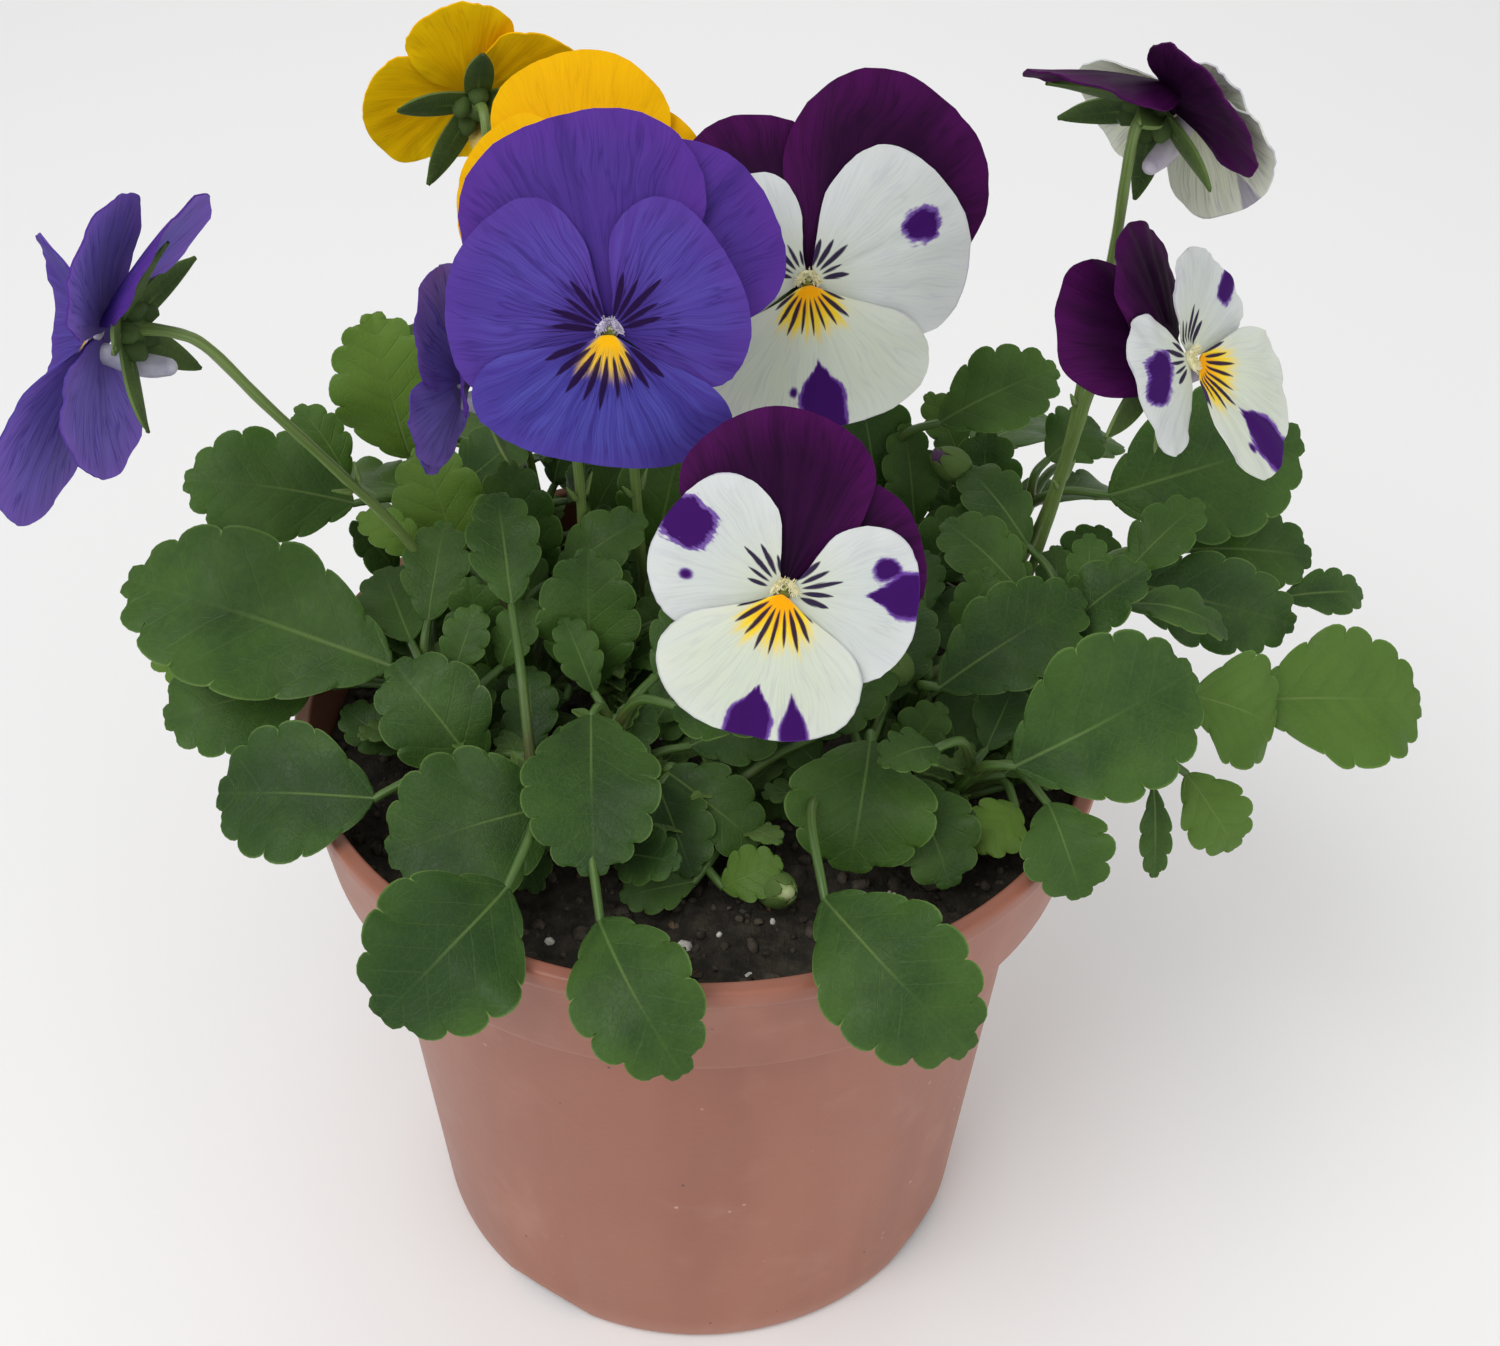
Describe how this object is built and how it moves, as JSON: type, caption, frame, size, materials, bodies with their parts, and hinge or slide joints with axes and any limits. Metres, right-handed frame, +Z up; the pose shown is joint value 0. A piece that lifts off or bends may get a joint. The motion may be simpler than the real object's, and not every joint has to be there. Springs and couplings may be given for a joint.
{
  "type": "potted plant",
  "caption": "Horned violet in bloom in a round terracotta-coloured plastic nursery pot: blue, yellow and purple-and-white flowers over crenate green leaves.",
  "frame": {"origin": "middle of the pot's base, on the face that it stands on", "axes": "+Z up along the pot's axis, -Y towards the front of the picture, +X to the picture's right"},
  "size_m": [0.195, 0.1512, 0.2022],
  "materials": {
    "terracotta_plastic": "satin",
    "peat": "rough, crumbly peat",
    "flower_stem": "satin living stem",
    "leaf": "satin living leaf",
    "blue_petal": "velvety petal",
    "yellow_petal": "velvety petal",
    "white_petal": "matt petal",
    "purple_petal": "velvety petal"
  },
  "bodies": {
    "root": {"pot": "terracotta_plastic", "soil": "peat", "blue_front_stem": "flower_stem", "blue_front_petals": "blue_petal", "blue_left_stem": "flower_stem", "blue_left_petals": "blue_petal", "blue_behind_stem": "flower_stem", "blue_behind_petals": "blue_petal", "yellow_front_stem": "flower_stem", "yellow_front_petals": "yellow_petal", "yellow_back_stem": "flower_stem", "yellow_back_petals": "yellow_petal", "white_back_stem": "flower_stem", "white_back_petals": "white_petal", "white_back_upper_petals": "purple_petal", "white_front_stem": "flower_stem", "white_front_petals": "white_petal", "white_front_upper_petals": "purple_petal", "white_right_stem": "flower_stem", "white_right_petals": "white_petal", "white_right_upper_petals": "purple_petal", "white_top_stem": "flower_stem", "white_top_petals": "white_petal", "white_top_upper_petals": "purple_petal", "shoot_left": "leaf", "shoot_left_front": "leaf", "shoot_left_mid": "leaf", "shoot_left_back": "leaf", "shoot_inner_left": "leaf", "shoot_front_left": "leaf", "shoot_front": "leaf", "shoot_front_right": "leaf", "shoot_right_front": "leaf", "shoot_inner_right": "leaf", "shoot_right": "leaf", "shoot_right_mid": "leaf", "shoot_right_back": "leaf", "shoot_back_right": "leaf", "shoot_centre": "leaf", "shoot_middle": "leaf", "shoot_back": "leaf", "shoot_back_left": "leaf", "shoot_back_far_right": "leaf"}
  },
  "joints": []
}
